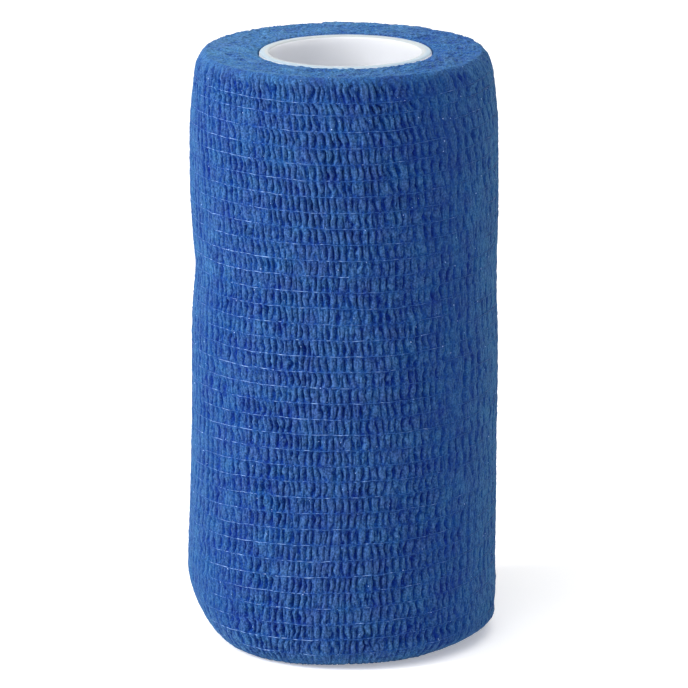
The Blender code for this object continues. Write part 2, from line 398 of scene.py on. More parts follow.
# %% Creases, and the whole relief
HOLLOW_DEPTH = 0.75 * MM
ROW_CROWN = 0.03 * MM        # how far the cloth stands proud between two threads
CREASE_DEPTH, CREASE_ALONG, CREASE_ACROSS = 0.055 * MM, 0.32 * MM, 0.5 * MM
WRINKLE_DEPTH, WRINKLE_PITCH, WRINKLE_LENGTH = 0.075 * MM, 0.52 * MM, 1.6 * MM
FOLD_DEPTH, FOLD_ALONG, FOLD_ACROSS = 0.03 * MM, 1.5 * MM, 4.5 * MM
PRESSED_CREASES = 0.2        # what is left of them where the puckers are shut
SAG_DEPTH, SAG_SIZE = 0.06 * MM, 12 * MM

creases = long_noise(14, CREASE_ALONG, CREASE_ACROSS)
wrinkle_waves = random_waves(20, 1 / WRINKLE_PITCH, BLOB_RATE / WRINKLE_PITCH, 1 / WRINKLE_LENGTH)
wrinkles = widened(wrinkle_waves.real) * math.sqrt(2.0)
folds = widened(long_noise(18, FOLD_ALONG, FOLD_ACROSS))
crease = CREASE_DEPTH * unevenness * creases + WRINKLE_DEPTH * wrinkles + FOLD_DEPTH * folds
crease = crease * (PRESSED_CREASES + (1 - PRESSED_CREASES) * openness)
sag = SAG_DEPTH * smooth_noise(15, SAG_SIZE)
crown = ROW_CROWN * (row_crown[:, None] - 0.5)
relief = crown + crease + sag + FELT_RELIEF * rim_felt - HOLLOW_DEPTH * open_hollows * openness
print("relief from", (relief.min() / MM).round(2), "to", (relief.max() / MM).round(2), "mm")

# %% [markdown]
# ## Laying the grid on the wound form
#
# The strip was wound slightly off level, so the threads rise a little to the right, most near the
# foot. They also wander, because the cloth is soft. The puckers lean too, most of all near the
# top. Both ends stay level, apart from the rim's slight sag at the back, on the right. Moving the
# grid's points along the form does all of this at once.

# %% Heights of the grid's points
LEAN_LEVELS = np.array([0, 20, 30, 40, 50, 60, 75, 90, 100]) * MM
LEAN_SLOPE = np.array([0.8, 0.72, 0.5, 0.27, 0.1, 0.05, -0.2, 0.0, 0.0]) * MM
LEAN_LIFT = np.array([0.6, 0.45, -0.15, -0.1, 0.15, 0.3, 0.55, 0.75, 0.75]) * MM
LEAN_CURL = 0.62 * MM
LAST_THREAD_DROP = 0.7 * MM  # the row under the rim is narrower than the others
THREAD_WANDER, THREAD_WANDER_SIZE = 0.07 * MM, 12 * MM
RIM_SAG = 0.28 * MM          # the rim lies a little lower at the back, on the right
RIM_SAG_ANGLE = math.radians(52)
RIM_SAG_HEIGHT = 6 * MM
RIM_SAG_POWER = 6            # more makes the sagging stretch shorter
print("threads lean by up to", (abs(LEAN_SLOPE).max() / MM).round(2), "mm")

# %% Slant of the puckers
SLANT_LEVELS = np.array([0, 10, 25, 35, 55, 65, 75, 85, 94, 100]) * MM
SLANT = np.radians([1.0, -1.5, -2.0, 2.0, 4.0, 2.0, 5.0, 6.5, 11.0, 19.0])     # downwards to the right
UPRIGHT_REACH = 15 * MM      # the cut end stays upright, and the cloth this near to it nearly so

slant = np.tan(np.interp(levels, SLANT_LEVELS, SLANT))
slant_shift = -np.cumsum(slant * np.gradient(levels)) / OUTER_RADIUS
slant_shift -= slant_shift.mean()
from_cut = np.minimum(turns, 1 - turns) * STRIP_LENGTH
leaning = 1 - np.exp(-from_cut / UPRIGHT_REACH)
print("puckers are shifted by up to", (abs(slant_shift).max() * OUTER_RADIUS / MM).round(1), "mm")

# %% Where the threads lie
EDGE_WANDER, EDGE_WANDER_SIZE = 0.3 * MM, 14 * MM     # of the cut edge
EDGE_REACH = 5 * MM          # the cloth this near to the cut edge wanders with it

from_end = np.minimum(levels, ROLL_HEIGHT - levels)
free = np.clip(from_end / MARGIN, 0.0, 1.0)[:, None]
edge_wander = EDGE_WANDER / OUTER_RADIUS * smooth_noise(16, EDGE_WANDER_SIZE)[:, :1]
edge_shift = edge_wander * np.exp(-from_cut / EDGE_REACH)
grid_angles = column_angles + slant_shift[:, None] * leaning + edge_shift
grid_side = np.cos(grid_angles)
slope = np.interp(levels, LEAN_LEVELS, LEAN_SLOPE)[:, None]
lift = np.interp(levels, LEAN_LEVELS, LEAN_LIFT)[:, None]
lean = slope * grid_side + lift * grid_side ** 2 + LEAN_CURL * grid_side ** 3
at_last_thread = np.clip(1 - np.abs(levels - thread_levels[-1]) / THREAD_PITCH, 0.0, 1.0)[:, None]
lean = lean - LAST_THREAD_DROP * at_last_thread
grid_heights = levels[:, None] + free * (lean + THREAD_WANDER * smooth_noise(17, THREAD_WANDER_SIZE))
near_rim = np.clip(1 - (ROLL_HEIGHT - levels) / RIM_SAG_HEIGHT, 0.0, 1.0)[:, None]
towards_sag = np.clip(np.cos(grid_angles - RIM_SAG_ANGLE), 0.0, 1.0) ** RIM_SAG_POWER
grid_heights -= RIM_SAG * near_rim * towards_sag
most_moved = abs(grid_heights - levels[:, None]).max()
print("threads wander from their levels by up to", (most_moved / MM).round(2), "mm")


# %% Points of the outside
def on_roll(radius, angle, height, axis=roll_axis):
    """Points from polar coordinates about an axis of the roll."""
    return np.stack([axis[0] + radius * np.cos(angle), axis[1] + radius * np.sin(angle), height], axis=-1)


def normals_of(grid):
    """Unit normals of a grid of points, which point out of the roll."""
    crossed = np.cross(np.gradient(grid, axis=1), np.gradient(grid, axis=0))
    return crossed / np.linalg.norm(crossed, axis=-1, keepdims=True)


plain_side = on_roll(wound_radius(grid_angles, turns, grid_heights), grid_angles, grid_heights)
side_normals = normals_of(plain_side)
cloth_side = plain_side + side_normals * relief[..., None]
cloth_side[..., 2] = np.maximum(cloth_side[..., 2], 0.0)
print("outside reaches", (cloth_side.reshape(-1, 3).max(axis=0) / MM).round(2), "mm")

# %% [markdown]
# ## Wound edges on the ends
#
# On each end the strip's edge shows, turn inside turn, 0.7 mm apart. The edge is crinkled and
# slightly furry, so the turns press into each other and read as felt with faint arcs in it, a
# little clearer on the right. The top's grid runs on from the rim to the hole. The spiral is
# measured inwards from the rim, which itself grows by one thickness over the turn, so its arcs
# meet at the cut end.

# %% The top's grid, from the rim to the hole
END_COLUMNS = COLUMNS // 2   # enough for the underside and the hole

inwards = (np.arange(1, TOP_RINGS + 1) / TOP_RINGS)[:, None, None]
rim = cloth_side[-1]
hole_edge = on_roll(HOLE_RADIUS, column_angles, np.full(COLUMNS, ROLL_HEIGHT), tube_axis)
plain_top = (1 - inwards) * rim + inwards * hole_edge
from_rim = np.linalg.norm(plain_top[..., :2] - rim[..., :2], axis=-1)
to_hole = np.linalg.norm(plain_top[..., :2] - hole_edge[..., :2], axis=-1)
print("ring of wound edges is", (from_rim.max() / MM).round(2), "mm wide where it is widest")

# %% Arcs, lumps and felt on the top
ARC_RELIEF = 0.07 * MM
EDGE_WAVE, EDGE_WAVE_SIZE = 1.5, 3 * MM     # radians that the arcs wander
ARC_MEAN, ARC_TO_RIGHT, ARC_SPREAD, ARC_MOST = 0.5, 0.3, 0.4, 1.2
ARC_PATCH = 5 * MM
LUMP_SHARE, LUMP_SIZE = 0.8, 2.2 * MM
TOP_LEVEL = ROLL_HEIGHT - 0.1 * MM
TOP_BLEND = 0.7 * MM         # how far the rim and the hole's edge reach into the top
HOLE_DIP = 0.32 * MM         # the first turns lie a little lower than the tube's rim
HOLE_SMOOTHING = 0.85

end_shape = (TOP_RINGS, COLUMNS)
arc_wave = EDGE_WAVE * smooth_noise(21, EDGE_WAVE_SIZE, end_shape, END_SPACING)
arcs = np.cos(math.tau * from_rim / STRIP_THICKNESS + arc_wave)
arc_patches = ARC_SPREAD * smooth_noise(24, ARC_PATCH, end_shape, END_SPACING)
arc_strength = np.clip(ARC_MEAN + ARC_TO_RIGHT * column_side + arc_patches, 0.0, ARC_MOST)
lumps = smooth_noise(23, LUMP_SIZE, end_shape, END_SPACING)
top_relief = FELT_RELIEF * felt[MARGIN_RINGS:] + ARC_RELIEF * (arcs * arc_strength + LUMP_SHARE * lumps)
at_rim = np.exp(-from_rim / TOP_BLEND)
at_hole = np.exp(-to_hole / TOP_BLEND)
top_relief = top_relief * (1 - HOLE_SMOOTHING * at_hole) - HOLE_DIP * at_hole
cloth_top = plain_top.copy()
cloth_top[..., 2] = TOP_LEVEL + (1 - at_rim) * top_relief + at_rim * (rim[..., 2] - TOP_LEVEL)
top_span = (cloth_top[..., 2].min() / MM, cloth_top[..., 2].max() / MM)
print("top's edges stand between", round(top_span[0], 2), "and", round(top_span[1], 2), "mm")

# %% The underside, from the hole to the foot
FOOT_RINGS = 14
FOOT_FELT_RELIEF, FOOT_FELT_SIZE = 0.06 * MM, 0.8 * MM
FOOT_SPACING = (0.5 * MM, 0.22 * MM)

outwards = (np.arange(FOOT_RINGS) / FOOT_RINGS)[:, None, None]
foot_edge = cloth_side[0, ::2]
hole_foot = on_roll(HOLE_RADIUS, column_angles[::2], np.zeros(END_COLUMNS), tube_axis)
cloth_foot = (1 - outwards) * hole_foot + outwards * foot_edge
foot_felt = smooth_noise(25, FOOT_FELT_SIZE, (FOOT_RINGS, END_COLUMNS), FOOT_SPACING)
cloth_foot[..., 2] = FOOT_FELT_RELIEF * np.clip(foot_felt, 0.0, 2.0)
print("underside has", FOOT_RINGS, "rings")

# %% [markdown]
# ## From rings to closed pieces
#
# The roll is cut into slices, so that no mesh is too heavy. The cuts follow threads, whose grooves
# hide them. Each slice is a closed body: its rings run over the outside and back through the hole,
# and each ring is joined to the next. Where one ring has half the points of its neighbour, every
# second point is left out and the faces there have five corners. Each piece also gets a map that
# unrolls it, in case its colours are baked into a picture.

# %% Unroll a mesh and mark its sharp edges
TOUCHING = 1e-9              # two marks this close are the same one


def unroll(mesh, part_round, part_along):
    """Map a closed mesh onto a square by each point's part of the way round and along."""
    corners = np.empty(len(mesh.loops), dtype=np.int64)
    mesh.loops.foreach_get("vertex_index", corners)
    counts = np.empty(len(mesh.polygons), dtype=np.int64)
    mesh.polygons.foreach_get("loop_total", counts)
    face_of_corner = np.repeat(np.arange(len(counts)), counts)
    places = np.stack([part_round[corners], part_along[corners]], axis=1)
    for axis in (0, 1):
        highest = np.zeros(len(counts))
        np.maximum.at(highest, face_of_corner, places[:, axis])
        wraps = (highest[face_of_corner] - places[:, axis]) > 0.5
        places[wraps, axis] += 1.0
    unrolled = mesh.uv_layers.new(name="OFBake")
    unrolled.uv.foreach_set("vector", places.ravel())


def mark_sharp(mesh, part_round, part_along, sharp_levels, size):
    """Mark the two edges of the strip's cut end, and the named rings, as sharp."""
    pairs = np.empty(len(mesh.edges) * 2, dtype=np.int64)
    mesh.edges.foreach_get("vertices", pairs)
    pairs = pairs.reshape(-1, 2)
    around, along = part_round[pairs], part_along[pairs]
    sharp = (around < TOUCHING).all(axis=1) | (around > 1 - 1.01 / size).all(axis=1)
    for level in sharp_levels:
        sharp |= (np.abs(along - level) < TOUCHING).all(axis=1)
    sharp_marks = mesh.attributes.new("sharp_edge", 'BOOLEAN', 'EDGE')
    sharp_marks.data.foreach_set("value", sharp)


# %% Join rings into a mesh
cloth_collection = bpy.data.collections.new("bandage_roll_pieces")
bpy.context.scene.collection.children.link(cloth_collection)


def ring_faces(lower, upper):
    """Faces between two rings of point numbers. The second may have half or twice as many."""
    if lower.size == upper.size:
        return np.stack([lower, np.roll(lower, -1), np.roll(upper, -1), upper], axis=1).tolist()
    if lower.size > upper.size:
        even, odd = lower[::2], lower[1::2]
        return np.stack([even, odd, np.roll(even, -1), np.roll(upper, -1), upper], axis=1).tolist()
    even, odd = upper[::2], upper[1::2]
    return np.stack([lower, np.roll(lower, -1), np.roll(even, -1), odd, even], axis=1).tolist()


def mark_points(piece, key, values):
    """Give every point of a piece a value that its material can read."""
    mark = piece.data.attributes.new(key, 'FLOAT', 'POINT')
    mark.data.foreach_set("value", values.astype(np.float32))


def join_rings(name, rings, marks, sharp_rings):
    """A closed mesh from a list of rings, where the last joins the first.

    The marks are values for its points, ring by ring.
    """
    sizes = [len(ring) for ring in rings]
    starts = np.concatenate([[0], np.cumsum(sizes)])
    numbers = [np.arange(start, start + size) for start, size in zip(starts, sizes)]
    faces = []
    for index in range(len(rings)):
        faces += ring_faces(numbers[index], numbers[(index + 1) % len(rings)])
    mesh = bpy.data.meshes.new(name)
    mesh.from_pydata(np.concatenate(rings).tolist(), [], faces)
    mesh.shade_smooth()
    part_round = np.concatenate([np.arange(size) / size for size in sizes])
    part_along = np.repeat(np.arange(len(rings)) / len(rings), sizes)
    unroll(mesh, part_round, part_along)
    mark_sharp(mesh, part_round, part_along, [index / len(rings) for index in sharp_rings], max(sizes))
    piece = bpy.data.objects.new(name, mesh)
    for key, values in marks.items():
        mark_points(piece, key, np.concatenate(values))
    cloth_collection.objects.link(piece)
    return piece


def triangles_of(piece):
    """How many triangles a piece has."""
    return sum(len(face.vertices) - 2 for face in piece.data.polygons)


# %% [markdown]
# ## Values for the colour
#
# The cloth's colour depends on how deep a point lies, which paints shade into the hollows, how loose
# its fibres are and how near it is to a cut edge. The grid knows all three, so they go on the mesh as
# values that the material reads. Painted light and shade that change round the roll go into the
# depth values as well. A picture wrapped round the roll could do it too, but values move with the puckers.

# %% How deep the side's points lie
# The values below paint shade into the colour: the lower a value, the darker the hollow blue.
MIDDLE_VALUE = 0.42          # the cloth is this pale where the puckers are closed
SHADE_SHARE = 0.5            # of the shade in open cloth follows the hollows as if none were shut
DEEPEST, HIGHEST = -0.74 * MM, 0.04 * MM
OPEN_GAIN = 1.1
RIM_FELT_SHOWS = 0.2
# Painted shade: the side's colour is painted darker in bands towards the left and towards the right.
PAINTED_SHADE_AT = (-1.0, -0.86, -0.7, -0.4, -0.1, 0.3, 0.55, 0.8, 1.0)     # from the left side to the right
PAINTED_SHADE = (0.0, 0.09, 0.12, 0.05, 0.0, 0.07, 0.11, 0.03, 0.0)         # how much deeper the colour is there


def hollow_of(height, lowest, highest):
    """0 in the deepest hollows and 1 on the ridges."""
    return np.clip((height - lowest) / (highest - lowest), 0.0, 1.0)


shade_share = SHADE_SHARE * unpressed
shaded_hollows = (1 - shade_share) * open_hollows + shade_share * np.clip(hollow_part, 0.0, 1.0)
open_hollow = hollow_of(crease - HOLLOW_DEPTH * shaded_hollows, DEEPEST, HIGHEST)
painted_shade = np.interp(column_side, PAINTED_SHADE_AT, PAINTED_SHADE)
shown = np.clip(OPEN_GAIN * openness, 0.0, 1.0)
side_hollow = MIDDLE_VALUE - painted_shade + (open_hollow - MIDDLE_VALUE) * shown + RIM_FELT_SHOWS * rim_felt
print("mean depth value of the side", side_hollow.mean().round(2))

# %% How deep the top's points lie
TOP_LIFT = 0.02 * MM
RIM_CARRY = 0.3 * MM         # how far the side's colour is carried over the rim
TOP_DEEPEST, TOP_HIGHEST = -0.07 * MM, 0.1 * MM
# Painted light: the top's colour is painted paler towards the left and towards the back.
PAINTED_LIGHT_LEFT, PAINTED_LIGHT_BACK, TOP_DEEPER = 0.2, 0.13, 0.07
GAP_SHADE, GAP_REACH = 0.9, 0.25 * MM        # the cloth is dark in the gap beside the tube
FOOT_VALUE = 0.6

level_top = top_relief + TOP_LIFT + HOLE_DIP * at_hole
carried = at_rim * (side_hollow[-1] - 0.5) * RIM_CARRY
top_hollow = hollow_of((1 - at_rim) * level_top + carried, TOP_DEEPEST, TOP_HIGHEST)
top_hollow = top_hollow - PAINTED_LIGHT_LEFT * column_side + PAINTED_LIGHT_BACK * np.sin(column_angles) - TOP_DEEPER
top_hollow = np.clip(top_hollow, 0.0, 1.0) * (1 - GAP_SHADE * np.exp(-to_hole / GAP_REACH))
foot_hollow = np.full((FOOT_RINGS, END_COLUMNS), FOOT_VALUE)
print("mean depth value of the top", top_hollow.mean().round(2))

# %% How cut and how loose the cloth is
CUT_LEVELS = [0, 2.6 * MM, ROLL_HEIGHT - 1.8 * MM, ROLL_HEIGHT - 0.6 * MM]
CUT_THERE = [1.0, 0.0, 0.0, 1.0]
PRESSED_LOOSE = 0.35         # pressed cloth has this part of the grain of loose cloth
TOP_LOOSE = 1.3
# Painted light: the top's cut edges are painted paler towards the left.
TOP_CUT, CUT_PAINTED_LIGHT_LEFT = 0.8, 0.25

side_cut = np.repeat(np.interp(levels, CUT_LEVELS, CUT_THERE)[:, None], COLUMNS, axis=1)
side_loose = np.maximum(PRESSED_LOOSE + (1 - PRESSED_LOOSE) * unpressed, side_cut)
top_cut = np.clip(TOP_CUT - CUT_PAINTED_LIGHT_LEFT * column_side, 0.0, 1.0)
print("looseness of the side from", side_loose.min().round(2), "to", side_loose.max().round(2))

# %% Slices of the side
SLICE_THREADS = (0, 9, 18, 27, 35)
WALL_INSET = 0.3 * MM


def hole_ring(height, count):
    """A ring on the wall of the hole."""
    angles = column_angles[::COLUMNS // count]
    return on_roll(HOLE_RADIUS, angles, np.full(count, height), tube_axis)


cloth_pieces = []
for number, (lower, upper) in enumerate(zip(SLICE_THREADS[:-1], SLICE_THREADS[1:]), start=1):
    span = slice(thread_rings[lower], thread_rings[upper] + 1)
    rings = list(cloth_side[span])
    outer_rings = len(rings)
    rings.append(hole_ring(thread_levels[upper] - WALL_INSET, COLUMNS))
    rings.append(hole_ring(thread_levels[lower] + WALL_INSET, COLUMNS))
    unseen = [np.zeros(COLUMNS)] * 2
    marks = {"hollow": list(side_hollow[span]) + unseen, "loose": list(side_loose[span]) + unseen}
    sharp_rings = (0, outer_rings - 1, outer_rings, outer_rings + 1)
    piece = join_rings(f"wound_side_{number}", rings, marks, sharp_rings)
    cloth_pieces.append(piece)
    print(piece.name, triangles_of(piece), "triangles")

# %% The top slice
span = slice(thread_rings[-1], None)
rings = list(cloth_side[span]) + list(cloth_top) + [hole_ring(thread_levels[-1] + WALL_INSET, COLUMNS)]
marks = {
    "hollow": list(side_hollow[span]) + list(top_hollow) + [np.zeros(COLUMNS)],
    "cut_edge": list(side_cut[span] * top_cut) + [top_cut] * (TOP_RINGS + 1),
    "loose": list(side_loose[span]) + [np.full(COLUMNS, TOP_LOOSE)] * (TOP_RINGS + 1),
}
top_slice = join_rings("wound_top", rings, marks, (0, len(rings) - 2, len(rings) - 1))
cloth_pieces.append(top_slice)
print(top_slice.name, triangles_of(top_slice), "triangles")

# %% The foot slice
span = slice(0, thread_rings[0] + 1)
rings = list(cloth_foot) + list(cloth_side[span]) + [hole_ring(thread_levels[0] - WALL_INSET, END_COLUMNS)]
all_of_it = [np.ones(END_COLUMNS)]
marks = {
    "hollow": list(foot_hollow) + list(side_hollow[span]) + [np.zeros(END_COLUMNS)],
    "cut_edge": all_of_it * FOOT_RINGS + list(side_cut[span]) + all_of_it,
    "loose": all_of_it * FOOT_RINGS + list(side_loose[span]) + all_of_it,
}
foot_slice = join_rings("wound_foot", rings, marks, (0, len(rings) - 2, len(rings) - 1))
cloth_pieces.append(foot_slice)
print(foot_slice.name, triangles_of(foot_slice), "triangles")

# %% [markdown]
# ## Elastic threads
#
# Each thread is a stretched elastic yarn, about an eighth of a millimetre thick. It lies in the
# cloth rather than on it: it follows the cloth's height, sinks in and comes out again, and weaves
# a little up and down. A tube of three sides is enough at this size. A thread could be a curve
# with a bevel, but one mesh for all 36 is lighter.

# %% Where the threads run
THREAD_RADIUS = 0.06 * MM
THREAD_STEP = 4              # a tube's ring on every fourth column
THREAD_LIFT = 0.06 * MM
THREAD_SINK, SINK_SIZE = 0.145 * MM, 2.2 * MM
SUNK_MEAN, SUNK_SPREAD, SUNK_PRESSED = 0.5, 0.32, 0.1
THREAD_WEAVE, WEAVE_SIZE = 0.045 * MM, 1.0 * MM


def smoothed(heights_along, reach):
    """The line of a soft thread over uneven cloth: the mean of the points nearby."""
    padded = np.pad(heights_along, ((0, 0), (reach, reach)), mode="edge")
    count = heights_along.shape[1]
    return np.mean([padded[:, shift:shift + count] for shift in range(2 * reach + 1)], axis=0)


thread_cloth = relief[thread_rings]
sunk_waves = row_noise(31, SINK_SIZE, THREADS) * math.sqrt(2.0)
sunk = np.clip(SUNK_MEAN + SUNK_SPREAD * sunk_waves + SUNK_PRESSED * (1.0 - unpressed), 0.0, 1.0)
thread_height = smoothed(thread_cloth, 1) + THREAD_LIFT - THREAD_SINK * sunk
thread_normals = side_normals[thread_rings]
thread_points = plain_side[thread_rings] + thread_normals * thread_height[..., None]
thread_points[..., 2] += THREAD_WEAVE * math.sqrt(2.0) * row_noise(32, WEAVE_SIZE, THREADS)
thread_stand = (thread_height - thread_cloth).mean()
print("threads stand", (thread_stand / MM).round(3), "mm over the cloth on average")

# %% Snip the threads at the strip's cut end
SNIPPED_END = 0.5 * MM
END_POINTS = 3

snips = np.random.default_rng(33)
strands = thread_points[:, ::THREAD_STEP]
outward = thread_normals[:, ::THREAD_STEP]
last_step = strands[:, -1] - strands[:, -2]
forward = (last_step / np.linalg.norm(last_step, axis=-1, keepdims=True))[:, None]
end_parts = (np.arange(1, END_POINTS + 1) / END_POINTS)[:, None]
end_lengths = SNIPPED_END * snips.uniform(0.4, 1.4, (THREADS, 1, 1)) * end_parts
droop = snips.uniform(-0.3, 0.25, (THREADS, 1, 1))
loose_ends = strands[:, -1:] + end_lengths * (forward + droop * outward[:, -1:])
strands = np.concatenate([strands, loose_ends], axis=1)
outward = np.concatenate([outward, np.repeat(outward[:, -1:], END_POINTS, axis=1)], axis=1)
print("snipped ends are up to", (end_lengths.max() / MM).round(2), "mm long")


# %% Make the threads
def thread_tubes(name, paths, outward, radius):
    """Three-sided tubes along open paths, with closed ends."""
    strands, steps = paths.shape[:2]
    along = np.gradient(paths, axis=1)
    along /= np.linalg.norm(along, axis=-1, keepdims=True)
    across = np.cross(along, outward)
    corners = [math.radians(degrees) for degrees in (90, 210, 330)]
    offsets = [radius * (math.sin(a) * outward + math.cos(a) * across) for a in corners]
    rings = np.stack([paths + offset for offset in offsets], axis=2)
    numbers = np.arange(strands * steps * 3).reshape(strands, steps, 3)
    near, far = numbers[:, :-1], numbers[:, 1:]
    sides = np.stack([near, far, np.roll(far, -1, axis=2), np.roll(near, -1, axis=2)], axis=-1)
    faces = sides.reshape(-1, 4).tolist()
    faces += numbers[:, 0].tolist() + numbers[:, -1, ::-1].tolist()
    mesh = bpy.data.meshes.new(name)
    mesh.from_pydata(rings.reshape(-1, 3).tolist(), [], faces)
    mesh.shade_smooth()
    piece = bpy.data.objects.new(name, mesh)
    cloth_collection.objects.link(piece)
    return piece


# Partly the yarn's own bareness, partly painted light: the threads are painted palest left of the front,
# towards the key light.
BARE_AND_LIT_AT = (-1.0, -0.9, -0.75, -0.5, 0.0, 0.3, 1.0)         # from the left side to the right
BARE_AND_LIT_SHARE = (0.5, 0.75, 0.98, 1.0, 0.78, 0.66, 0.5)       # how bare the threads are there

threads = thread_tubes("elastic_threads", strands, outward, THREAD_RADIUS)
bare_and_lit_along = open_hollow[thread_rings] * np.interp(column_side, BARE_AND_LIT_AT, BARE_AND_LIT_SHARE)
bare_and_lit_along = np.pad(bare_and_lit_along[:, ::THREAD_STEP], ((0, 0), (0, END_POINTS)), mode="edge")
mark_points(threads, "bare_and_lit", np.repeat(bare_and_lit_along.ravel(), 3))
print(threads.name, triangles_of(threads), "triangles")

# %% [markdown]
# ## Crumbs of latex
#
# Where the roll has rubbed, the dried latex comes off in pale crumbs, which cling to the ridges.
# They are small and few. Each is a flattened diamond of eight faces, laid on the cloth at random.
# Scattering one crumb with geometry nodes would do too, but a plain mesh needs nothing applied.

# %% Scatter the crumbs
CRUMBS = 420
CRUMB_SIZE = 0.075 * MM
CRUMB_LENGTH, CRUMB_THICKNESS = 1.6, 0.8     # both as parts of its half width

scatter = np.random.default_rng(34)
crumb_rings = scatter.integers(thread_rings[0], RINGS - 1, CRUMBS)
crumb_columns = scatter.integers(0, COLUMNS, CRUMBS)
crumb_places = cloth_side[crumb_rings, crumb_columns]
upwards = side_normals[crumb_rings, crumb_columns]
sideways = np.cross(upwards, scatter.standard_normal((CRUMBS, 3)))
sideways /= np.linalg.norm(sideways, axis=1, keepdims=True)
lengthways = np.cross(upwards, sideways)
crumb_sizes = CRUMB_SIZE * scatter.uniform(0.5, 1.3, (CRUMBS, 1))
wide = sideways * crumb_sizes
long = lengthways * crumb_sizes * CRUMB_LENGTH
thick = upwards * crumb_sizes * CRUMB_THICKNESS
tips = [wide, long, -wide, -long, thick, -thick]
crumb_points = np.stack([crumb_places + tip for tip in tips], axis=1).reshape(-1, 3)
diamond = [(i, (i + 1) % 4, 4) for i in range(4)] + [((i + 1) % 4, i, 5) for i in range(4)]
crumb_faces = [tuple(6 * crumb + corner for corner in face) for crumb in range(CRUMBS) for face in diamond]
crumb_mesh = bpy.data.meshes.new("latex_crumbs")
crumb_mesh.from_pydata(crumb_points.tolist(), [], crumb_faces)
crumbs = bpy.data.objects.new("latex_crumbs", crumb_mesh)
cloth_collection.objects.link(crumbs)
print(CRUMBS, "crumbs of about", CRUMB_SIZE * 2 / MM, "mm")

# %% [markdown]
# ## The tube
#
# The roll is wound on a plain tube of white plastic that ends just inside the roll, with rounded
# rims. It is a turned profile, as on a lathe. A Screw modifier would turn it as well, but the
# rings are joined by the same function as the cloth's, which unrolls them too.

# %% Turn the tube
TUBE_WALL = 1.7 * MM
TUBE_LIP = 0.45 * MM
TUBE_STEPS = 192
LIP_POINTS = 8
WALL_POINTS = 8


def tube_profile():
    """Radius and height round the wall's section, starting up the bore."""
    bore = TUBE_RADIUS - TUBE_WALL
    low, high = tube_low.z, tube_high.z
    walls = np.linspace(low + TUBE_LIP, high - TUBE_LIP, WALL_POINTS)
    quarter = np.linspace(0.0, math.pi / 2, LIP_POINTS)
    growing = TUBE_LIP * (1 - np.cos(quarter))
    shrinking = TUBE_LIP * (1 - np.sin(quarter))
    section = [(bore, height) for height in walls]
    section += list(zip(bore + growing, high - shrinking))[1:]
    section += list(zip(TUBE_RADIUS - shrinking, high - growing))
    section += [(TUBE_RADIUS, height) for height in walls[::-1]]
    section += list(zip(TUBE_RADIUS - growing, low + shrinking))[1:]
    section += list(zip(bore + shrinking, low + growing))[:-1]
    return section


tube_angles = math.tau * np.arange(TUBE_STEPS) / TUBE_STEPS
tube_rings = []
for radius, height in tube_profile()[::-1]:
    tube_rings.append(on_roll(radius, tube_angles, np.full(TUBE_STEPS, height), tube_axis))
core = join_rings("core_of_white_plastic", tube_rings, {}, ())
print(core.name, triangles_of(core), "triangles")

# %% [markdown]
# ## Colours and nodes
#
# Colours are written as sRGB hex values, as a colour picker shows them, and one function turns
# them to the linear values that the shader works in. One function adds a node.

# %% Helpers for the materials
def linear(hex_colour):
    """An sRGB hex colour as linear red, green, blue and alpha."""
    values = [int(hex_colour[start:start + 2], 16) / 255 for start in (1, 3, 5)]
    return [v / 12.92 if v <= 0.04045 else ((v + 0.055) / 1.055) ** 2.4 for v in values] + [1.0]


def add_node(tree, kind, inputs=None, **settings):
    """Add a node with its settings. An input is a value, or the output that feeds it."""
    node = tree.nodes.new(kind)
    for name, value in settings.items():
        setattr(node, name, value)
    for socket, value in (inputs or {}).items():
        if isinstance(value, bpy.types.NodeSocket):
            tree.links.new(value, node.inputs[socket])
        else:
            node.inputs[socket].default_value = value
    return node


def new_material(name):
    """An empty material: the material, its node tree and its Principled shader."""
    material = bpy.data.materials.new(name)
    material.use_nodes = True
    return material, material.node_tree, material.node_tree.nodes["Principled BSDF"]


print("white is", linear("#FFFFFF")[:3], "in linear values")

# %% [markdown]
# ## Crinkled nonwoven
#
# The cloth is a spunlaid polyester nonwoven, dyed blue and coated with a little latex, which makes
# it cling to itself. It has no weave. The eye sees a matte, slightly fluffy surface. Its ridges are
# a lighter, greyer blue and its hollows a deep saturated blue, which is painted shade. The `hollow`
# value on the mesh tells the two apart, and the cut edges are paler.
# Fibre bundles mottle it at half a millimetre and a grain at a third. Both are weaker where the
# cloth is pressed, which is what `loose` says. Single fibres are far too fine to show, so the
# grain is drawn at that coarser size.

# %% How deep the nonwoven's colour is
RIDGE_BLUE = "#3C5D96"
FLANK_PAINTED_SHADE_BLUE = "#1E4380"
HOLLOW_PAINTED_SHADE_BLUE = "#042980"
CUT_BLUE = "#3D6598"
FIBRE_SIZE = 0.5 * MM
GRAIN_SIZE = 0.32 * MM
FIBRE_SQUASH = (1.0, 1.0, 0.65)              # fibre bundles are longer up and down
FIBRE_SHIFT, GRAIN_SHIFT = 0.2, 0.15

